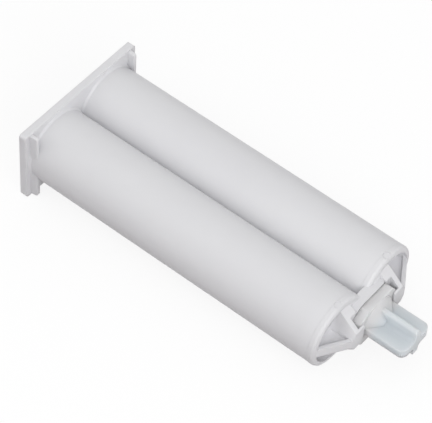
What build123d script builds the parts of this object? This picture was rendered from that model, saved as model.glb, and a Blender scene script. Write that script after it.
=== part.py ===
"""Twin-barrel cartridge for a two-part adhesive, lying on its side with its plug fitted.

+X runs along the barrels from the rear flange to the outlet, +Y across them, and +Z is up.
The origin is at the middle of the flange's back face. The resin barrel is on the -Y side and
the hardener barrel on the +Y side. All sizes are in millimetres.
"""
import os
from math import hypot

from build123d import *

# Barrels
bore_radius = 9.65
barrel_wall = 1.1
barrel_spacing = 20.98
barrel_length = 98.9
end_wall = 1.4
mouth_chamfer = 0.5

# Rear flange, its two end ribs and the bevel where each barrel meets it
flange_width = 45.4
flange_height = 24.8
flange_thickness = 2.2
flange_corner = 0.9
end_rib_inset = 1.75
end_rib_width = 1.25
end_rib_depth = 2.2
end_rib_draft = 0.3
end_rib_setback = 0.55
end_rib_corner = 0.6
root_bevel = 0.65

# Rim round the front end of each barrel, and the pocket inside it
rim_length = 2.1
rim_proud = 0.05
rim_edge = 0.9
rim_edge_middle = 0.28
rim_wall = 1.6
pocket_depth = 3.6
gate_mark_radius = 1.1
gate_mark_depth = 0.25

# Centre block that closes the valley between the barrels and carries the outlet
block_half_width = 6.5
block_half_height = 6.3
block_lead = 2.0
block_reach = 1.9
block_rear_lean = 0.6
block_rear_foot = 4.0
block_corner = 1.0

# Ducts: the sloped housings that lead from each barrel to the outlet
ear_length = 5.3
duct_rear_height = 11.2
duct_front_height = 3.25
duct_rear_top = 10.35
duct_front_top = 10.25
duct_rear_foot = 11.5
duct_front_foot = 11.35

# Side struts from the rims to the ears, and the web inside each
strut_half_height = 1.5
strut_wall = 1.2
strut_setback = 0.95
web_half_height = 0.6

# Outlet: round socket, two passages, and the bayonet ears
socket_radius = 5.0
socket_depth = 2.5
passage_wall = 1.2
passage_width = 3.0
passage_height = 6.4
entry_width = 8.0
entry_height = 8.4
entry_offset = 6.6
slot_half_width = 8.8
ear_gap = 6.6
lip_thickness = 0.55

# Closure plug
spigot_clearance = 0.05
spigot_end_gap = 0.2
plug_flange_radius = 8.6
plug_flange_flat = 6.3
lead_in_start = 4.3
lead_in_height = 3.15
plug_seat_gap = 0.05
plug_lip_gap = 0.05
boss_radius = 6.25
boss_edge = 0.4
cone_length = 2.9
cone_tip_radius = 2.6
handle_length = 12.25
wing_half_width = 6.05
wing_half_height = 4.95
wing_thickness = 2.6
upright_thickness = 1.8
wing_edge = 0.3
upright_edge = 0.8
wing_root_fillet = 1.4
wing_corner = 2.2
upright_corner = 1.2

# Pistons, each a cup with two sealing lips, open to the rear
piston_length = 7.6
piston_recess = 0.85
piston_clearance = 0.05
lip_width = 1.3
piston_waist = 0.5
piston_skirt = 1.3
piston_crown = 1.5
crown_cone = 0.6

# Adhesive in each barrel
fill_clearance = 0.1

# Cutters run past the surface that they cut by this much
overrun = 1.0

barrel_radius = bore_radius + barrel_wall
barrel_offset = barrel_spacing / 2
rim_radius = barrel_radius + rim_proud
rim_bore = rim_radius - rim_wall
pocket_floor = barrel_length - pocket_depth
bore_end = pocket_floor - end_wall
block_front = barrel_length + block_lead
block_rear = barrel_length - block_reach
ear_front = barrel_length + ear_length
strut_start = barrel_length - strut_setback
socket_floor = block_front - socket_depth
lip_rear = ear_front - lip_thickness
handle_end = ear_front + handle_length
piston_front = piston_recess + piston_length
piston_radius = bore_radius - piston_clearance
piston_stroke = bore_end - fill_clearance - piston_front


def turned(points, y=0):
    """Solid of revolution about the line through y along X, from (x, radius) points."""
    below = [(x, -radius) for x, radius in points]
    profile = Plane.XZ * make_face(Polyline(*below, close=True))
    return Pos(0, y, 0) * revolve(profile, axis=Axis.X)


def rod(radius, start, end, y=0):
    """Round bar along X."""
    return turned([(start, 0), (start, radius), (end, radius), (end, 0)], y)


def slab(start, end, half_width, half_height):
    """Block along X, centred on the axis."""
    outline = Rectangle(half_width + half_width, half_height + half_height)
    return extrude(Plane.YZ.offset(start) * outline, amount=end - start)


def section(x, points):
    """Closed outline of (y, z) points on the plane across the axis at x."""
    return Plane.YZ.offset(x) * make_face(Polyline(*points, close=True))


def both_sides(solid):
    """The solid and its mirror image across the plane between the barrels."""
    return solid + mirror(solid, about=Plane.XZ)


def end_rib():
    """Rib near one short end of the flange, with a drafted outer side and rounded corners."""
    outer = flange_width / 2 - end_rib_inset
    inner = outer - end_rib_width
    front = flange_thickness + end_rib_depth
    half = flange_height / 2 - end_rib_setback
    side = Rectangle(front, half + half, align=(Align.MIN, Align.CENTER))
    side = fillet(side.vertices().group_by(Axis.X)[-1], end_rib_corner)
    plan = make_face(Polyline(
        (0, inner), (front, inner), (front, outer - end_rib_draft), (flange_thickness, outer),
        (0, outer), close=True))
    return extrude(Plane.XZ * side, amount=outer, both=True) & extrude(plan, amount=half, both=True)


def rear_flange():
    """Flat plate with rounded corners and a rib near each short end."""
    plate = extrude(Plane.YZ * RectangleRounded(flange_width, flange_height, flange_corner),
                    amount=flange_thickness)
    return plate + both_sides(end_rib())


def barrel_outside(y):
    """Barrel with the bevel at its root and the rim at its front, still solid."""
    rim_rear = barrel_length - rim_length
    rim_face = rim_radius - rim_edge
    return turned([
        (0, 0), (0, barrel_radius), (flange_thickness, barrel_radius + root_bevel),
        (flange_thickness + root_bevel, barrel_radius), (rim_rear - rim_proud, barrel_radius),
        (rim_rear, rim_radius), (barrel_length - rim_edge, rim_radius),
        (barrel_length - rim_edge_middle, rim_radius - rim_edge_middle),
        (barrel_length, rim_face), (barrel_length, 0)], y)


def barrel_hollows(y):
    """The bore with its chamfered mouth, and the pocket inside the front rim."""
    bore = rod(bore_radius, -overrun, bore_end, y)
    mouth = turned([(-overrun, 0), (-overrun, bore_radius + mouth_chamfer + overrun),
                    (mouth_chamfer, bore_radius), (mouth_chamfer, 0)], y)
    pocket = rod(rim_bore, pocket_floor, barrel_length + overrun, y)
    return bore + mouth + pocket


def gate_mark(y):
    """Shallow round mark that the mould leaves on top of a rim."""
    middle = barrel_length - rim_length / 2
    top = Plane.XY.offset(rim_radius - gate_mark_depth) * Pos(middle - rim_proud, y)
    return extrude(top * Circle(gate_mark_radius), amount=gate_mark_depth + overrun)


def centre_block():
    """Block between the barrels, with a leaning rear face and rounded front corners."""
    profile = Plane.XZ * make_face(Polyline(
        (block_rear, -block_rear_foot), (block_rear + block_rear_lean, -block_half_height),
        (block_front, -block_half_height), (block_front, block_half_height),
        (block_rear + block_rear_lean, block_half_height), (block_rear, block_rear_foot),
        close=True))
    block = extrude(profile, amount=block_half_width, both=True)
    corners = block.edges().filter_by(Axis.Z).group_by(Axis.X)[-1]
    return fillet(corners, block_corner)


def duct_housing():
    """Sloped housing from the pocket of one barrel to its ear, with drafted sides."""
    rear = [(0, duct_rear_height), (duct_rear_top, duct_rear_height),
            (duct_rear_foot, strut_half_height), (duct_rear_foot, -strut_half_height),
            (duct_rear_top, -duct_rear_height), (0, -duct_rear_height)]
    front = [(0, duct_front_height), (duct_front_top, duct_front_height),
             (duct_front_foot, strut_half_height), (duct_front_foot, -strut_half_height),
             (duct_front_top, -duct_front_height), (0, -duct_front_height)]
    housing = loft([section(pocket_floor, rear), section(ear_front, front)], ruled=True)
    inside_rim = rod(rim_bore + rim_wall / 2, pocket_floor - overrun, barrel_length, barrel_offset)
    ahead = slab(barrel_length, ear_front, duct_rear_foot, duct_rear_height)
    over_block = slab(barrel_length, ear_front, block_half_width, duct_rear_height)
    return housing & (inside_rim + (ahead - over_block))


def side_strut():
    """Slanting strut from a rim to an ear, and the thin web between it and the duct."""
    rim_side = barrel_offset + rim_radius
    run = ear_front - strut_start
    drop = rim_side - duct_front_foot
    length = hypot(run, drop)
    shift_x = strut_wall * drop / length
    shift_y = strut_wall * run / length
    strut = make_face(Polyline(
        (strut_start, rim_side), (ear_front, duct_front_foot),
        (ear_front, duct_front_foot - strut_wall), (ear_front - shift_x, duct_front_foot - shift_y),
        (strut_start - shift_x, rim_side - shift_y), close=True))
    web = make_face(Polyline(
        (pocket_floor, 0), (pocket_floor, rim_side - rim_wall / 2),
        (strut_start - shift_x / 2, rim_side - shift_y / 2),
        (ear_front - shift_x / 2, duct_front_foot - shift_y / 2), (ear_front - shift_x / 2, 0),
        close=True))
    return (extrude(strut, amount=strut_half_height, both=True)
            + extrude(web, amount=web_half_height, both=True))


def outlet_hollows():
    """The open slot behind the lips for the plug's flange, the way in between them, the socket."""
    slot = slab(block_front, lip_rear, slot_half_width, barrel_radius)
    way_in = slab(block_front, ear_front + overrun, ear_gap, barrel_radius)
    socket = rod(socket_radius, socket_floor, block_front + overrun)
    return slot + way_in + socket


def passage(side):
    """Narrowing way from one bore to the floor of the socket."""
    entry = Plane.YZ.offset(bore_end - overrun) * Pos(side * entry_offset, 0)
    port_offset = (passage_wall + passage_width) / 2
    port = Plane.YZ.offset(socket_floor + overrun) * Pos(side * port_offset, 0)
    return loft([entry * Rectangle(entry_width, entry_height),
                 port * Rectangle(passage_width, passage_height)], ruled=True)


def cartridge_body():
    """The whole moulding: flange, barrels, head and ears."""
    body = rear_flange() + barrel_outside(-barrel_offset) + barrel_outside(barrel_offset)
    body -= barrel_hollows(-barrel_offset)
    body -= barrel_hollows(barrel_offset)
    body += centre_block()
    body += both_sides(duct_housing())
    body += both_sides(side_strut())
    body -= outlet_hollows()
    for side in (-1, 1):
        body -= passage(side)
        body -= gate_mark(side * barrel_offset)
    return body


def bayonet_flange(start, end):
    """Round flange with two flats and a lead-in bevel on two opposite corners."""
    outline = Circle(plug_flange_radius) & Rectangle(
        plug_flange_radius + plug_flange_radius, plug_flange_flat + plug_flange_flat)
    corner = make_face(Polyline(
        (-lead_in_start, plug_flange_flat), (-plug_flange_radius, plug_flange_flat),
        (-plug_flange_radius, lead_in_height), close=True))
    outline -= corner
    outline -= Rot(0, 0, 180) * corner
    return extrude(Plane.YZ.offset(start) * outline, amount=end - start)


def handle_outline(plane, half_height, corner):
    """Handle seen square to a plane, with rounded front corners, as a deep block."""
    start = ear_front - handle_end
    outline = Rectangle(-start, half_height + half_height, align=(Align.MAX, Align.CENTER))
    outline = fillet(outline.vertices().group_by(Axis.X)[-1], corner)
    return extrude(plane * Pos(handle_end, 0) * outline, amount=handle_end, both=True)


def handle():
    """Cross-shaped handle: two flat wings and two thinner upright ones, with rounded edges."""
    flat = RectangleRounded(wing_half_width + wing_half_width, wing_thickness, wing_edge)
    upright = RectangleRounded(upright_thickness, wing_half_height + wing_half_height,
                               upright_edge)
    cross = flat + upright
    roots = cross.vertices().group_by(lambda corner: hypot(corner.X, corner.Y))[0]
    cross = fillet(roots, wing_root_fillet)
    bar = extrude(Plane.YZ.offset(ear_front) * cross, amount=handle_end - ear_front)
    bar = bar & handle_outline(Plane.XY, wing_half_width, wing_corner)
    return bar & handle_outline(Plane.XZ, wing_half_height, upright_corner)


def closure_plug():
    """Plug: spigot, bayonet flange, boss, cone and cross-shaped handle."""
    seat = block_front + plug_seat_gap
    flange_front = lip_rear - plug_lip_gap
    spigot = rod(socket_radius - spigot_clearance, socket_floor + spigot_end_gap, seat)
    cone_end = ear_front + cone_length
    cone = turned([(seat, 0), (seat, boss_radius), (ear_front - boss_edge, boss_radius),
                   (ear_front, boss_radius - boss_edge), (cone_end, cone_tip_radius),
                   (cone_end, 0)])
    return spigot + bayonet_flange(seat, flange_front) + cone + handle()


def piston(y):
    """Piston: a cup open to the rear, with a sealing lip at each end."""
    waist = piston_radius - piston_waist
    inner = piston_radius - piston_waist - piston_skirt
    floor = piston_front - piston_crown
    outline = [
        (piston_recess, inner), (piston_recess, piston_radius),
        (piston_recess + lip_width, piston_radius), (piston_recess + lip_width + piston_waist, waist),
        (piston_front - crown_cone - lip_width - piston_waist, waist),
        (piston_front - crown_cone - lip_width, piston_radius),
        (piston_front - crown_cone, piston_radius), (piston_front, piston_radius - lip_width),
        (piston_front, 0), (floor, 0), (floor, inner)]
    return turned(outline, y)


def fill(y):
    """Adhesive between a piston and the end of its bore."""
    radius = bore_radius - fill_clearance
    shoulder = piston_front - crown_cone + fill_clearance
    return turned([(piston_front + fill_clearance, 0),
                   (piston_front + fill_clearance, radius - lip_width),
                   (shoulder + fill_clearance, radius), (bore_end - fill_clearance, radius),
                   (bore_end - fill_clearance, 0)], y)


parts = {
    "cartridge_body": cartridge_body(),
    "closure_plug": closure_plug(),
    "resin_piston": piston(-barrel_offset),
    "hardener_piston": piston(barrel_offset),
    "resin_fill": fill(-barrel_offset),
    "hardener_fill": fill(barrel_offset),
}

os.makedirs("parts", exist_ok=True)
for name, shape in parts.items():
    export_step(shape, f"parts/{name}.step")
    print(name, f"volume {shape.volume:.1f} mm3")
print(f"piston stroke {piston_stroke:.2f} mm")
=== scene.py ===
"""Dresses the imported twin-barrel adhesive cartridge: plastics, contents, floor, lights and camera.

The cartridge lies on its side with its plug fitted. +X runs from the rear flange to the outlet.
Lengths are in metres unless a name says otherwise.
"""

import math

import bpy
from bpy.props import FloatProperty, FloatVectorProperty, PointerProperty
from bpy.types import Operator, Panel, PropertyGroup
from mathutils import Matrix, Vector


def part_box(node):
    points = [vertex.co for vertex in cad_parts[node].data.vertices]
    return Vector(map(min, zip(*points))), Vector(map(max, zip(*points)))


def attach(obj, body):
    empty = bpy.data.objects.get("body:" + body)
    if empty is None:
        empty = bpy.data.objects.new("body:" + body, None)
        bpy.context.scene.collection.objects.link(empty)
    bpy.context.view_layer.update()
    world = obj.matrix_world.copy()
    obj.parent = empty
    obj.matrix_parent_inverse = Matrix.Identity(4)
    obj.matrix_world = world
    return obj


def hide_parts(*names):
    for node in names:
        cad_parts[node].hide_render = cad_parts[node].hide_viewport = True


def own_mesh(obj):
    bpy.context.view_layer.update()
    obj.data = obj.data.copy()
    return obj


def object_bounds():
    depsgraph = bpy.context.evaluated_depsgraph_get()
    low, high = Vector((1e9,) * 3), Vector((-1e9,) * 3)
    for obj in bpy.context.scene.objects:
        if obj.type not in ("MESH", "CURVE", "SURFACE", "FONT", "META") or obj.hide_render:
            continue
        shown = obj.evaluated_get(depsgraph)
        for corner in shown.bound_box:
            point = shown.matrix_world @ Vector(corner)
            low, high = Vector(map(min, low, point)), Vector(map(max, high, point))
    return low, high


bl_info = {
    "name": "Twin-Barrel Cartridge",
    "version": (1, 0, 0),
    "blender": (4, 5, 0),
    "location": "3D View > Sidebar > Cartridge",
    "description": "Plastics, contents, floor, lights and camera for a two-part adhesive cartridge",
    "category": "Object",
}

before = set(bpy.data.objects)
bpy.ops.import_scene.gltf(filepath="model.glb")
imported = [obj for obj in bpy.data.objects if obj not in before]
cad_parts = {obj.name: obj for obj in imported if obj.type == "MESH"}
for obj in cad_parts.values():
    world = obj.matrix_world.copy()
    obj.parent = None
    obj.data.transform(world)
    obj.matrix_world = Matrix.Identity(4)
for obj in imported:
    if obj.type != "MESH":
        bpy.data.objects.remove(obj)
CAD_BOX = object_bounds()

MM = 0.001
PHOTO_WIDTH = 432  # pixels
UP = Vector((0, 0, 1))
BODY = "cartridge_body"
PLUG = "closure_plug"
PISTONS = ("resin_piston", "hardener_piston")

# What each barrel holds: piece name, CAD node, joint that presses it, material slot, colour setting
CONTENTS = (
    ("resin_paste", "resin_fill", "resin_piston_slide", "resin", "resin_colour"),
    ("hardener_paste", "hardener_fill", "hardener_piston_slide", "hardener", "hardener_colour"),
)

# Each light's power, azimuth and elevation are settings that start with its name
LIGHTS = ("key", "top", "back", "fill")


def linear(code):
    """Linear RGB of an sRGB hex colour."""
    shares = [int(code[i:i + 2], 16) / 255 for i in (0, 2, 4)]
    return tuple(s / 12.92 if s <= 0.04045 else ((s + 0.055) / 1.055) ** 2.4 for s in shares)


# ---- settings ----

class PlasticSettings(PropertyGroup):
    """Colours and finishes of the plastics and pastes."""

    body_colour: FloatVectorProperty(
        name="Cartridge", description="Grey-white polypropylene of the cartridge",
        subtype="COLOR", size=3, min=0, max=1, default=linear("dbdbdd"))
    plug_colour: FloatVectorProperty(
        name="Plug handle", description="Natural polypropylene where the plug is thin",
        subtype="COLOR", size=3, min=0, max=1, default=linear("d1d7db"))
    plug_base_colour: FloatVectorProperty(
        name="Plug base", description="The same plastic where the plug is thick and milky",
        subtype="COLOR", size=3, min=0, max=1, default=linear("d7d7d8"))
    piston_colour: FloatVectorProperty(
        name="Pistons", description="Milky polyethylene of the two pistons",
        subtype="COLOR", size=3, min=0, max=1, default=linear("e7e7e5"))
    resin_colour: FloatVectorProperty(
        name="Resin", description="Off-white resin paste",
        subtype="COLOR", size=3, min=0, max=1, default=linear("e8e2cf"))
    hardener_colour: FloatVectorProperty(
        name="Hardener", description="Dark grey hardener paste",
        subtype="COLOR", size=3, min=0, max=1, default=linear("4a4b4d"))
    pocket: FloatProperty(
        name="Pocket", description="From the end of the bore to the front of the rims",
        unit="LENGTH", min=0, default=5.1 * MM)
    # Painted light: the walls inside the rims are painted this much paler.
    pocket_painted_light: FloatProperty(
        name="Pocket lift", description="How much paler the thin walls inside the rims look",
        subtype="FACTOR", min=1, max=1.3, default=1.15)
    grain: FloatProperty(
        name="Spark grain", description="Spacing of the mould's fine spark-eroded grain",
        unit="LENGTH", min=0, default=0.45 * MM)


class PasteSettings(PropertyGroup):
    """Sizes of the paste columns in the barrels."""

    gap: FloatProperty(
        name="Gap", description="Room left between the paste and the bore",
        unit="LENGTH", min=0, default=0.12 * MM)
    nose: FloatProperty(
        name="Nose", description="Length over which the paste narrows at each end",
        unit="LENGTH", min=0, default=1.1 * MM)
    nose_share: FloatProperty(
        name="Nose share", description="Radius at the very end as a share of the column's",
        subtype="FACTOR", min=0, max=1, default=0.86)
    left: FloatProperty(
        name="Left", description="Paste left in front of a piston that is fully in",
        unit="LENGTH", min=0.001 * MM, default=0.04 * MM)


class StageSettings(PropertyGroup):
    """Camera, lights and floor."""

    azimuth: FloatProperty(
        name="Azimuth", description="Camera's turn round the cartridge",
        subtype="ANGLE", unit="ROTATION", default=math.radians(35.377))
    elevation: FloatProperty(
        name="Elevation", description="Camera's height above the horizon",
        subtype="ANGLE", unit="ROTATION", default=math.radians(51.456))
    roll: FloatProperty(
        name="Roll", description="Camera's turn about its own line of sight",
        subtype="ANGLE", unit="ROTATION", default=math.radians(4.431))
    distance: FloatProperty(
        name="Distance", description="From the camera to the point that it turns about",
        unit="LENGTH", default=618.3 * MM)
    pivot: FloatProperty(
        name="Pivot", description="Point on the cartridge's axis that the camera turns about",
        unit="LENGTH", default=55 * MM)
    slide_right: FloatProperty(
        name="Slide right", description="Camera's move to its right",
        unit="LENGTH", default=-3.933 * MM)
    slide_up: FloatProperty(
        name="Slide up", description="Camera's move along its own up",
        unit="LENGTH", default=2.260 * MM)
    focal_pixels: FloatProperty(
        name="Focal length", description="Focal length in pixels of the photograph",
        default=2315.3)
    sensor: FloatProperty(
        name="Sensor", description="Sensor width", unit="CAMERA", default=36)
    sky: FloatProperty(
        name="Sky", description="Strength of the even light from all round", default=0.67)
    key: FloatProperty(
        name="Key", description="Power of the large soft light in front of the outlet",
        unit="POWER", default=3.6)
    key_azimuth: FloatProperty(
        name="Key azimuth", description="Key light's turn from the outlet towards the near side",
        subtype="ANGLE", unit="ROTATION", default=math.radians(32))
    key_elevation: FloatProperty(
        name="Key elevation", description="Key light's height above the horizon",
        subtype="ANGLE", unit="ROTATION", default=math.radians(29))
    top: FloatProperty(
        name="Top light", description="Power of the soft light overhead", unit="POWER", default=0.8)
    top_azimuth: FloatProperty(
        name="Top azimuth", description="Top light's turn from the outlet towards the near side",
        subtype="ANGLE", unit="ROTATION", default=math.radians(75))
    top_elevation: FloatProperty(
        name="Top elevation", description="Top light's height above the horizon",
        subtype="ANGLE", unit="ROTATION", default=math.radians(66))
    back: FloatProperty(
        name="Back light", description="Power of the soft light behind the flange",
        unit="POWER", default=0.7)
    back_azimuth: FloatProperty(
        name="Back azimuth", description="Back light's turn from the outlet towards the near side",
        subtype="ANGLE", unit="ROTATION", default=math.radians(150))
    back_elevation: FloatProperty(
        name="Back elevation", description="Back light's height above the horizon",
        subtype="ANGLE", unit="ROTATION", default=math.radians(25))
    fill: FloatProperty(
        name="Fill light", description="Power of the soft light on the far side", unit="POWER",
        default=0.42)
    fill_azimuth: FloatProperty(
        name="Fill azimuth", description="Fill light's turn from the outlet towards the near side",
        subtype="ANGLE", unit="ROTATION", default=math.radians(-110))
    fill_elevation: FloatProperty(
        name="Fill elevation", description="Fill light's height above the horizon",
        subtype="ANGLE", unit="ROTATION", default=math.radians(22))
    light_distance: FloatProperty(
        name="Light distance", description="From the cartridge to each light",
        unit="LENGTH", default=0.9)
    light_size: FloatProperty(
        name="Light size", description="Side of each light", unit="LENGTH", default=0.7)
    floor_size: FloatProperty(
        name="Floor", description="Side of the floor", unit="LENGTH", default=6)
    floor_colour: FloatVectorProperty(
        name="Floor colour", description="Pale floor as it lights the cartridge from below",
        subtype="COLOR", size=3, min=0, max=1, default=linear("857e80"))
    white_share: FloatProperty(
        name="Floor white", description="Share of plain white in what the camera sees of the floor",
        subtype="FACTOR", min=0, max=1, default=0.86)


# ---- materials ----

MIX_A, MIX_B, MIX_RESULT = 6, 7, 2  # the sockets of a Mix node that are for colours
WHITE = (1, 1, 1, 1)
SHORTEST = 0.01 * MM                # no pattern is drawn finer than this
POLYPROPYLENE_IOR = 1.49
BEVEL_SAMPLES = 4


def add_node(tree, kind, settings=(), inputs=()):
    """Adds a node, sets its properties and its inputs, and links inputs that are sockets."""
    node = tree.nodes.new(kind)
    for name, value in dict(settings).items():
        setattr(node, name, value)
    for name, value in dict(inputs).items():
        if isinstance(value, bpy.types.NodeSocket):
            tree.links.new(value, node.inputs[name])
        else:
            node.inputs[name].default_value = value
    return node


def new_material(name):
    """Empty node material with its output node."""
    material = bpy.data.materials.new(name)
    material.use_nodes = True
    tree = material.node_tree
    tree.nodes.clear()
    output = add_node(tree, "ShaderNodeOutputMaterial")
    return material, tree, output


def per_metre(length):
    """Noise scale that gives features of this length."""
    return 1 / max(length, SHORTEST)


def opaque(colour):
    """RGB with full alpha, as a colour socket takes it."""
    return (*colour, 1)


def tinted(colour, scale):
    """The same, with each channel multiplied."""
    return opaque(min(c * s, 1) for c, s in zip(colour, scale))


# The melt runs along X, so its clouds are drawn out along the barrels: 14 mm by 40 mm.
FLOW_SIZE, FLOW_SCALE = 14 * MM, (0.35, 1, 1)
FLOW_DARK, FLOW_PALE = (0.972, 0.968, 0.978), (1.02, 1.02, 1.018)
# Sink and shrink leave the walls uneven by a few hundredths over some 9 mm.
SINK_SIZE = 9 * MM
# The real spark-eroded grain is some 0.1 mm, too fine to show, so the grain setting is coarser.
# Its roughness goes from one of these to the other.
SMOOTHEST, ROUGHEST = 0.42, 0.56
# Paste backs the end walls, so they pass less light on than the barrels' own walls.
BARREL_SUBSURFACE, HEAD_SUBSURFACE = 0.4, 0.1
# Soft edges of the subsurface change and of the painted light: at the end wall, at the rims'
# front (from ahead of it to behind it), and at the bore's radius (from just inside it to full)
WALL_FADE = 0.5 * MM
RIM_AHEAD, RIM_BEHIND = 0.6 * MM, 1.4 * MM
BORE_START, BORE_FULL = 0.2 * MM, 0.5 * MM


def painted_light_mask(tree, along, low, high, pocket):
    """Mask for painted light: 1 on the thin walls inside the two front rims, and 0 elsewhere, with
    soft edges.

    along gives the place's X, Y and Z. low and high are the corners of one barrel's bore, and
    pocket is how far the rims stand ahead of it.
    """
    front = high.x + pocket
    behind_front = add_node(tree, "ShaderNodeMapRange", {}, {
        "Value": along.outputs["X"], "From Min": front + RIM_AHEAD,
        "From Max": front - RIM_BEHIND})
    ahead = add_node(tree, "ShaderNodeMapRange", {}, {
        "Value": along.outputs["X"], "From Min": high.x, "From Max": high.x + WALL_FADE})
    mirrored = add_node(tree, "ShaderNodeMath", {"operation": "ABSOLUTE"}, {
        0: along.outputs["Y"]})
    across = add_node(tree, "ShaderNodeCombineXYZ", {}, {
        "Y": mirrored.outputs["Value"], "Z": along.outputs["Z"]})
    from_axis = add_node(tree, "ShaderNodeVectorMath", {"operation": "DISTANCE"}, {
        0: across.outputs["Vector"], 1: (0, (low.y + high.y) / 2, 0)})
    inside = add_node(tree, "ShaderNodeMapRange", {}, {
        "Value": from_axis.outputs["Value"], "From Min": high.z - BORE_START,
        "From Max": high.z - BORE_FULL})
    in_length = add_node(tree, "ShaderNodeMath", {"operation": "MULTIPLY"}, {
        0: behind_front.outputs["Result"], 1: ahead.outputs["Result"]})
    in_pocket = add_node(tree, "ShaderNodeMath", {"operation": "MULTIPLY"}, {
        0: in_length.outputs["Value"], 1: inside.outputs["Result"]})
    return in_pocket.outputs["Value"]


def moulded_polypropylene(settings):
    """Opaque polypropylene, injection moulded.

    It has a soft satin gloss, lets a little light in under its surface, shows slow cloudy flow
    from the gate, and carries the fine even grain of a spark-eroded mould. Inside the rims its
    colour is painted paler, as painted light.
    """
    material, tree, output = new_material("polypropylene_moulded_grey_white")
    place = add_node(tree, "ShaderNodeTexCoord").outputs["Object"]
    drawn = add_node(tree, "ShaderNodeMapping", {}, {"Vector": place, "Scale": FLOW_SCALE})
    flow = add_node(tree, "ShaderNodeTexNoise", {}, {
        "Vector": drawn.outputs["Vector"], "Scale": per_metre(FLOW_SIZE), "Detail": 3})
    clouds = add_node(tree, "ShaderNodeMix", {"data_type": "RGBA"}, {
        "Factor": flow.outputs["Fac"], MIX_A: tinted(settings.body_colour, FLOW_DARK),
        MIX_B: tinted(settings.body_colour, FLOW_PALE)})
    grain = add_node(tree, "ShaderNodeTexNoise", {}, {
        "Vector": place, "Scale": per_metre(settings.grain), "Detail": 2})
    rough = add_node(tree, "ShaderNodeMapRange", {}, {
        "Value": grain.outputs["Fac"], "To Min": SMOOTHEST, "To Max": ROUGHEST})
    sink = add_node(tree, "ShaderNodeTexNoise", {}, {
        "Vector": place, "Scale": per_metre(SINK_SIZE), "Detail": 1})
    along = add_node(tree, "ShaderNodeSeparateXYZ", {}, {"Vector": place})
    low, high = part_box("hardener_fill")
    share = add_node(tree, "ShaderNodeMapRange", {}, {
        "Value": along.outputs["X"], "From Min": high.x - WALL_FADE,
        "From Max": high.x + WALL_FADE, "To Min": BARREL_SUBSURFACE, "To Max": HEAD_SUBSURFACE})
    # Painted light: inside the rims the colour is painted paler, standing in for light that would
    # reach the pockets through the thin walls.
    painted_light = add_node(tree, "ShaderNodeMapRange", {}, {
        "Value": painted_light_mask(tree, along, low, high, settings.pocket), "To Min": 1,
        "To Max": settings.pocket_painted_light})
    shade = add_node(tree, "ShaderNodeVectorMath", {"operation": "SCALE"}, {
        0: clouds.outputs[MIX_RESULT], "Scale": painted_light.outputs["Result"]})
    round_edges = add_node(tree, "ShaderNodeBevel", {"samples": BEVEL_SAMPLES}, {
        "Radius": 0.28 * MM})
    soft = add_node(tree, "ShaderNodeBump", {}, {
        "Strength": 0.35, "Distance": 0.05 * MM, "Height": sink.outputs["Fac"],
        "Normal": round_edges.outputs["Normal"]})
    fine = add_node(tree, "ShaderNodeBump", {}, {
        "Strength": 0.18, "Distance": 0.02 * MM, "Height": grain.outputs["Fac"],
        "Normal": soft.outputs["Normal"]})
    shader = add_node(tree, "ShaderNodeBsdfPrincipled", {}, {
        "Base Color": shade.outputs["Vector"], "Roughness": rough.outputs["Result"],
        "IOR": POLYPROPYLENE_IOR, "Subsurface Weight": share.outputs["Result"],
        "Subsurface Radius": (1, 0.98, 0.96), "Subsurface Scale": 1.8 * MM,
        "Normal": fine.outputs["Normal"]})
    tree.links.new(shader.outputs["BSDF"], output.inputs["Surface"])
    return material


# Where the plug's milky base ends and its watery handle starts, as shares of its length
MILKY_END, WATERY_START = 0.33, 0.5
# Its clouds, how far they shift that change, and what takes their mean shift off again
PLUG_CLOUD, CLOUD_SHIFT, CLOUD_MEAN = 3 * MM, 0.35, 0.17


def natural_polypropylene(settings):
    """Unpigmented polypropylene, injection moulded.

    Thin walls look watery and slightly blue, and thick ones turn milky, so the colour goes from
    milky at the boss to watery along the handle.
    """
    material, tree, output = new_material("polypropylene_moulded_natural")
    place = add_node(tree, "ShaderNodeTexCoord").outputs["Object"]
    along = add_node(tree, "ShaderNodeSeparateXYZ", {}, {"Vector": place})
    low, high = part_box(PLUG)
    length = high.x - low.x
    thin = add_node(tree, "ShaderNodeMapRange", {"interpolation_type": "SMOOTHSTEP"}, {
        "Value": along.outputs["X"], "From Min": low.x + length * MILKY_END,
        "From Max": low.x + length * WATERY_START})
    cloud = add_node(tree, "ShaderNodeTexNoise", {}, {
        "Vector": place, "Scale": per_metre(PLUG_CLOUD), "Detail": 2})
    uneven = add_node(tree, "ShaderNodeMath", {"operation": "MULTIPLY_ADD"}, {
        0: cloud.outputs["Fac"], 1: CLOUD_SHIFT, 2: thin.outputs["Result"]})
    shift = add_node(tree, "ShaderNodeMath", {"operation": "SUBTRACT", "use_clamp": True}, {
        0: uneven.outputs["Value"], 1: CLOUD_MEAN})
    blend = add_node(tree, "ShaderNodeMix", {"data_type": "RGBA"}, {
        "Factor": shift.outputs["Value"], MIX_A: opaque(settings.plug_base_colour),
        MIX_B: opaque(settings.plug_colour)})
    round_edges = add_node(tree, "ShaderNodeBevel", {"samples": BEVEL_SAMPLES}, {
        "Radius": 0.25 * MM})
    ripple = add_node(tree, "ShaderNodeBump", {}, {
        "Strength": 0.3, "Distance": 0.05 * MM, "Height": cloud.outputs["Fac"],
        "Normal": round_edges.outputs["Normal"]})
    shader = add_node(tree, "ShaderNodeBsdfPrincipled", {}, {
        "Base Color": blend.outputs[MIX_RESULT], "Roughness": 0.34, "IOR": POLYPROPYLENE_IOR,
        "Transmission Weight": 0.05, "Subsurface Weight": 0.95,
        "Subsurface Radius": (0.96, 1, 1), "Subsurface Scale": 4 * MM,
        "Normal": ripple.outputs["Normal"]})
    tree.links.new(shader.outputs["BSDF"], output.inputs["Surface"])
    return material


# Size and darker tint of the pistons' milky clouds
WAX_SIZE, WAX_DARK = 6 * MM, (0.96, 0.96, 0.96)


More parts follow.
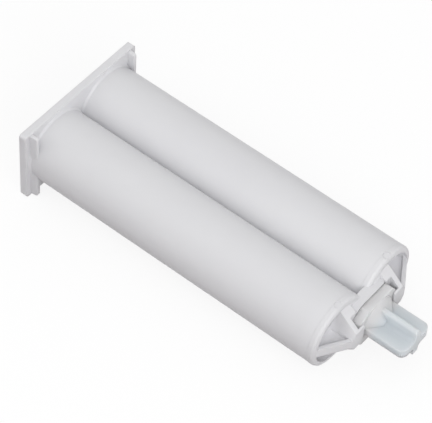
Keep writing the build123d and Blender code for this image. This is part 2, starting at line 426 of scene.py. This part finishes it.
def moulded_polyethylene(settings):
    """Soft polyethylene, injection moulded: milky, waxy and a little smoother than the barrels."""
    material, tree, output = new_material("polyethylene_moulded_milky")
    place = add_node(tree, "ShaderNodeTexCoord").outputs["Object"]
    cloud = add_node(tree, "ShaderNodeTexNoise", {}, {
        "Vector": place, "Scale": per_metre(WAX_SIZE), "Detail": 2})
    wax = add_node(tree, "ShaderNodeMix", {"data_type": "RGBA"}, {
        "Factor": cloud.outputs["Fac"], MIX_A: tinted(settings.piston_colour, WAX_DARK),
        MIX_B: opaque(settings.piston_colour)})
    bump = add_node(tree, "ShaderNodeBump", {}, {
        "Strength": 0.2, "Distance": 0.03 * MM, "Height": cloud.outputs["Fac"]})
    shader = add_node(tree, "ShaderNodeBsdfPrincipled", {}, {
        "Base Color": wax.outputs[MIX_RESULT], "Roughness": 0.38, "IOR": 1.51,
        "Subsurface Weight": 0.3, "Subsurface Radius": (1, 1, 0.97),
        "Subsurface Scale": 1.5 * MM, "Normal": bump.outputs["Normal"]})
    tree.links.new(shader.outputs["BSDF"], output.inputs["Surface"])
    return material


# Size and tints of the paste's folds
FOLD_SIZE = 5 * MM
FOLD_DARK, FOLD_PALE = (0.93, 0.93, 0.92), (1.04, 1.04, 1.04)


def thick_paste(name, colour):
    """Filled epoxy paste: dense and glossy, with slow folds from filling."""
    material, tree, output = new_material(name)
    place = add_node(tree, "ShaderNodeTexCoord").outputs["Object"]
    folds = add_node(tree, "ShaderNodeTexNoise", {}, {
        "Vector": place, "Scale": per_metre(FOLD_SIZE), "Detail": 3, "Distortion": 0.6})
    shade = add_node(tree, "ShaderNodeMix", {"data_type": "RGBA"}, {
        "Factor": folds.outputs["Fac"], MIX_A: tinted(colour, FOLD_DARK),
        MIX_B: tinted(colour, FOLD_PALE)})
    bump = add_node(tree, "ShaderNodeBump", {}, {
        "Strength": 0.4, "Distance": 0.15 * MM, "Height": folds.outputs["Fac"]})
    shader = add_node(tree, "ShaderNodeBsdfPrincipled", {}, {
        "Base Color": shade.outputs[MIX_RESULT], "Roughness": 0.28, "IOR": 1.55,
        "Normal": bump.outputs["Normal"]})
    tree.links.new(shader.outputs["BSDF"], output.inputs["Surface"])
    return material


def seen_rays(tree):
    """1 for rays from the camera, from a gloss or through clear plastic, and 0 for the rest."""
    path = add_node(tree, "ShaderNodeLightPath")
    first = add_node(tree, "ShaderNodeMath", {"operation": "MAXIMUM"}, {
        0: path.outputs["Is Camera Ray"], 1: path.outputs["Is Glossy Ray"]})
    both = add_node(tree, "ShaderNodeMath", {"operation": "MAXIMUM"}, {
        0: first.outputs["Value"], 1: path.outputs["Is Transmission Ray"]})
    return both.outputs["Value"]


def seamless_paper(settings):
    """White paper sweep: matt and even. The camera sees it near white with a faint shadow."""
    material, tree, output = new_material("paper_seamless_white")
    matt = add_node(tree, "ShaderNodeBsdfDiffuse", {}, {"Color": opaque(settings.floor_colour)})
    bright = add_node(tree, "ShaderNodeBsdfDiffuse", {}, {"Color": WHITE})
    white = add_node(tree, "ShaderNodeEmission", {}, {"Color": WHITE, "Strength": 1})
    seen = add_node(tree, "ShaderNodeMixShader", {}, {
        0: settings.white_share, 1: bright.outputs["BSDF"], 2: white.outputs["Emission"]})
    mix = add_node(tree, "ShaderNodeMixShader", {}, {
        0: seen_rays(tree), 1: matt.outputs["BSDF"], 2: seen.outputs["Shader"]})
    tree.links.new(mix.outputs["Shader"], output.inputs["Surface"])
    return material


def give_material(node_name, material):
    """Puts a material on a CAD node's object."""
    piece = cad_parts[node_name]
    if not piece.material_slots:
        piece.data.materials.append(material)
    for place in piece.material_slots:
        place.material = material


# ---- paste columns ----

COLUMN_STATIONS, COLUMN_SIDES = 96, 64


def paste_tree(material):
    """Geometry Nodes: a round column along X between two stations, narrowed at each end."""
    tree = bpy.data.node_groups.new("paste_column", "GeometryNodeTree")
    face = tree.interface
    face.new_socket(name="Geometry", in_out="OUTPUT", socket_type="NodeSocketGeometry")
    for name in ("Start", "End", "Across", "Radius", "Nose", "Nose Share"):
        face.new_socket(name=name, in_out="INPUT", socket_type="NodeSocketFloat")
    given = add_node(tree, "NodeGroupInput").outputs
    start = add_node(tree, "ShaderNodeCombineXYZ", {}, {"X": given["Start"], "Y": given["Across"]})
    end = add_node(tree, "ShaderNodeCombineXYZ", {}, {"X": given["End"], "Y": given["Across"]})
    line = add_node(tree, "GeometryNodeCurvePrimitiveLine", {}, {
        "Start": start.outputs["Vector"], "End": end.outputs["Vector"]})
    fine = add_node(tree, "GeometryNodeResampleCurve", {"mode": "COUNT"}, {
        "Curve": line.outputs["Curve"], "Count": COLUMN_STATIONS})
    place = add_node(tree, "ShaderNodeSeparateXYZ", {}, {
        "Vector": add_node(tree, "GeometryNodeInputPosition").outputs["Position"]})
    from_start = add_node(tree, "ShaderNodeMath", {"operation": "SUBTRACT"}, {
        0: place.outputs["X"], 1: given["Start"]})
    to_end = add_node(tree, "ShaderNodeMath", {"operation": "SUBTRACT"}, {
        0: given["End"], 1: place.outputs["X"]})
    nearest = add_node(tree, "ShaderNodeMath", {"operation": "MINIMUM"}, {
        0: from_start.outputs["Value"], 1: to_end.outputs["Value"]})
    full = add_node(tree, "ShaderNodeMapRange", {"interpolation_type": "SMOOTHERSTEP"}, {
        "Value": nearest.outputs["Value"], "From Min": 0, "From Max": given["Nose"],
        "To Min": given["Nose Share"], "To Max": 1})
    radius = add_node(tree, "ShaderNodeMath", {"operation": "MULTIPLY"}, {
        0: full.outputs["Result"], 1: given["Radius"]})
    ring = add_node(tree, "GeometryNodeCurvePrimitiveCircle", {}, {
        "Resolution": COLUMN_SIDES, "Radius": 1})
    column = add_node(tree, "GeometryNodeCurveToMesh", {}, {
        "Curve": fine.outputs["Curve"], "Profile Curve": ring.outputs["Curve"],
        "Scale": radius.outputs["Value"], "Fill Caps": True})
    real = add_node(tree, "GeometryNodeRealizeInstances", {}, {"Geometry": column.outputs["Mesh"]})
    dressed = add_node(tree, "GeometryNodeSetMaterial", {}, {
        "Geometry": real.outputs["Geometry"], "Material": material})
    output = add_node(tree, "NodeGroupOutput")
    tree.links.new(dressed.outputs["Geometry"], output.inputs["Geometry"])
    return tree


def plain_mesh(piece):
    """Turns the result of a piece's modifier into its own mesh and takes the modifier off."""
    graph = bpy.context.evaluated_depsgraph_get()
    mesh = bpy.data.meshes.new_from_object(piece.evaluated_get(graph), depsgraph=graph)
    piece.modifiers.clear()
    piece.data = mesh
    mesh.name = piece.name
    if not mesh.polygons:
        raise RuntimeError(f"{piece.name} came out with no faces")


def paste_column(name, node, slot, colour, settings):
    """One barrel's paste: a round column, narrowed at each end."""
    low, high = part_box(node)
    values = {
        "Start": low.x, "End": high.x, "Across": (low.y + high.y) / 2,
        "Radius": (high.z - low.z) / 2 - settings.gap, "Nose": settings.nose,
        "Nose Share": settings.nose_share}
    piece = bpy.data.objects.new(name, bpy.data.meshes.new(name))
    bpy.context.scene.collection.objects.link(piece)
    modifier = piece.modifiers.new("column", "NODES")
    modifier.node_group = paste_tree(thick_paste(f"epoxy_paste_{slot}", colour))
    for item in modifier.node_group.interface.items_tree:
        if item.in_out == "INPUT":
            modifier[item.identifier] = values[item.name]
    plain_mesh(piece)
    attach(piece, "cartridge")
    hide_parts(node)
    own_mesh(piece)


# ---- stage ----

FLOOR_PLAY = 0.01 * MM  # points this little above the lowest one touch the floor too
CLIP_START, CLIP_END = 0.01, 100


def lay_floor(stage):
    """Floor that touches the flange's lower edge and the lowest points of the front rims."""
    points = [v.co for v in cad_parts[BODY].data.vertices]
    low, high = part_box(BODY)
    middle = (low.x + high.x) / 2
    lowest = min(p.z for p in points if p.x < middle)
    edge = max((p for p in points if p.x < middle and p.z < lowest + FLOOR_PLAY),
               key=lambda p: p.x)
    slope = min((p.z - edge.z) / (p.x - edge.x) for p in points if p.x > middle)
    half = stage.floor_size / 2
    corners = ((-half, -half), (half, -half), (half, half), (-half, half))
    mesh = bpy.data.meshes.new("floor")
    mesh.from_pydata([(middle + x, y, edge.z + slope * (middle + x - edge.x)) for x, y in corners],
                     [], [(0, 1, 2, 3)])
    floor = bpy.data.objects.new("floor", mesh)
    mesh.materials.append(seamless_paper(stage))
    bpy.context.scene.collection.objects.link(floor)


def light_world(stage):
    """Even light from all round, which the camera sees as plain white."""
    world = bpy.data.worlds.new("studio")
    bpy.context.scene.world = world
    world.use_nodes = True
    tree = world.node_tree
    tree.nodes.clear()
    even = add_node(tree, "ShaderNodeBackground", {}, {"Color": WHITE, "Strength": stage.sky})
    white = add_node(tree, "ShaderNodeBackground", {}, {"Color": WHITE, "Strength": 1})
    mix = add_node(tree, "ShaderNodeMixShader", {}, {
        0: seen_rays(tree), 1: even.outputs["Background"], 2: white.outputs["Background"]})
    output = add_node(tree, "ShaderNodeOutputWorld")
    tree.links.new(mix.outputs["Shader"], output.inputs["Surface"])


def hang_light(name, stage):
    """Large soft light that faces the cartridge's middle."""
    azimuth = getattr(stage, f"{name}_azimuth")
    elevation = getattr(stage, f"{name}_elevation")
    light = bpy.data.lights.new(name, "AREA")
    light.shape = "SQUARE"
    light.size = stage.light_size
    light.energy = getattr(stage, name)
    lamp = bpy.data.objects.new(name, light)
    direction = Vector((math.cos(azimuth) * math.cos(elevation),
                        -math.sin(azimuth) * math.cos(elevation), math.sin(elevation)))
    lamp.location = (CAD_BOX[0] + CAD_BOX[1]) / 2 + direction * stage.light_distance
    lamp.rotation_mode = "QUATERNION"
    lamp.rotation_quaternion = direction.to_track_quat("Z", "Y")
    bpy.context.scene.collection.objects.link(lamp)


def place_camera(stage):
    """Camera at the photograph's viewing angle."""
    azimuth, elevation, roll = stage.azimuth, stage.elevation, stage.roll
    back = Vector((math.sin(azimuth) * math.cos(elevation),
                   -math.cos(azimuth) * math.cos(elevation), math.sin(elevation)))
    level = UP.cross(back).normalized()
    rise = back.cross(level)
    right = math.cos(roll) * level + math.sin(roll) * rise
    up = math.cos(roll) * rise - math.sin(roll) * level
    data = bpy.data.cameras.new("camera")
    data.sensor_width = stage.sensor
    data.lens = stage.focal_pixels * stage.sensor / PHOTO_WIDTH
    data.clip_start, data.clip_end = CLIP_START, CLIP_END
    camera = bpy.data.objects.new("camera", data)
    place = (Vector((stage.pivot, 0, 0)) + back * stage.distance + right * stage.slide_right
             + up * stage.slide_up)
    turn = Matrix((right, up, back)).transposed()
    camera.matrix_world = Matrix.Translation(place) @ turn.to_4x4()
    bpy.context.scene.collection.objects.link(camera)
    bpy.context.scene.camera = camera


# ---- operators ----

class CARTRIDGE_OT_body(Operator):
    """Give the cartridge its moulded polypropylene"""

    bl_idname = "cartridge.finish_body"
    bl_label = "Finish Cartridge Body"

    def execute(self, context):
        give_material(BODY, moulded_polypropylene(context.scene.cartridge_plastics))
        return {"FINISHED"}


class CARTRIDGE_OT_plug(Operator):
    """Give the closure plug its natural polypropylene"""

    bl_idname = "cartridge.finish_plug"
    bl_label = "Finish Closure Plug"

    def execute(self, context):
        give_material(PLUG, natural_polypropylene(context.scene.cartridge_plastics))
        return {"FINISHED"}


class CARTRIDGE_OT_pistons(Operator):
    """Give both pistons their milky polyethylene"""

    bl_idname = "cartridge.finish_pistons"
    bl_label = "Finish Pistons"

    def execute(self, context):
        material = moulded_polyethylene(context.scene.cartridge_plastics)
        for name in PISTONS:
            give_material(name, material)
        return {"FINISHED"}


class CARTRIDGE_OT_contents(Operator):
    """Fill both barrels with paste"""

    bl_idname = "cartridge.fill_barrels"
    bl_label = "Fill Barrels"

    def execute(self, context):
        plastics = context.scene.cartridge_plastics
        for name, node, joint, slot, setting in CONTENTS:
            paste_column(name, node, slot, getattr(plastics, setting),
                         context.scene.cartridge_paste)
        return {"FINISHED"}


class CARTRIDGE_OT_stage(Operator):
    """Lay the floor, set the lights and place the camera"""

    bl_idname = "cartridge.set_stage"
    bl_label = "Set Stage"

    def execute(self, context):
        stage = context.scene.cartridge_stage
        lay_floor(stage)
        light_world(stage)
        for name in LIGHTS:
            hang_light(name, stage)
        place_camera(stage)
        context.scene.view_settings.view_transform = "Standard"
        return {"FINISHED"}


# ---- panel and registration ----

class CARTRIDGE_PT_panel(Panel):
    """Lists the cartridge's settings and its makers"""

    bl_label = "Cartridge"
    bl_idname = "CARTRIDGE_PT_panel"
    bl_space_type = "VIEW_3D"
    bl_region_type = "UI"
    bl_category = "Cartridge"

    def draw(self, context):
        layout = self.layout
        for owner in SETTINGS:
            group = getattr(context.scene, owner)
            for name in group.__annotations__:
                layout.prop(group, name)
        for maker in MAKERS:
            layout.operator(maker.bl_idname)


SETTINGS = {
    "cartridge_plastics": PlasticSettings,
    "cartridge_paste": PasteSettings,
    "cartridge_stage": StageSettings,
}
MAKERS = (CARTRIDGE_OT_stage, CARTRIDGE_OT_body, CARTRIDGE_OT_plug, CARTRIDGE_OT_pistons,
          CARTRIDGE_OT_contents)


def register():
    """Registers the settings, operators and panel."""
    for name, group in SETTINGS.items():
        bpy.utils.register_class(group)
        setattr(bpy.types.Scene, name, PointerProperty(type=group))
    for maker in (*MAKERS, CARTRIDGE_PT_panel):
        bpy.utils.register_class(maker)


def unregister():
    """Takes them away again."""
    for maker in (CARTRIDGE_PT_panel, *reversed(MAKERS)):
        bpy.utils.unregister_class(maker)
    for name, group in reversed(SETTINGS.items()):
        delattr(bpy.types.Scene, name)
        bpy.utils.unregister_class(group)


def main():
    """Makes everything in order."""
    register()
    bpy.ops.cartridge.set_stage()
    bpy.ops.cartridge.finish_body()
    bpy.ops.cartridge.finish_plug()
    bpy.ops.cartridge.finish_pistons()
    bpy.ops.cartridge.fill_barrels()


if __name__ == "__main__":
    main()
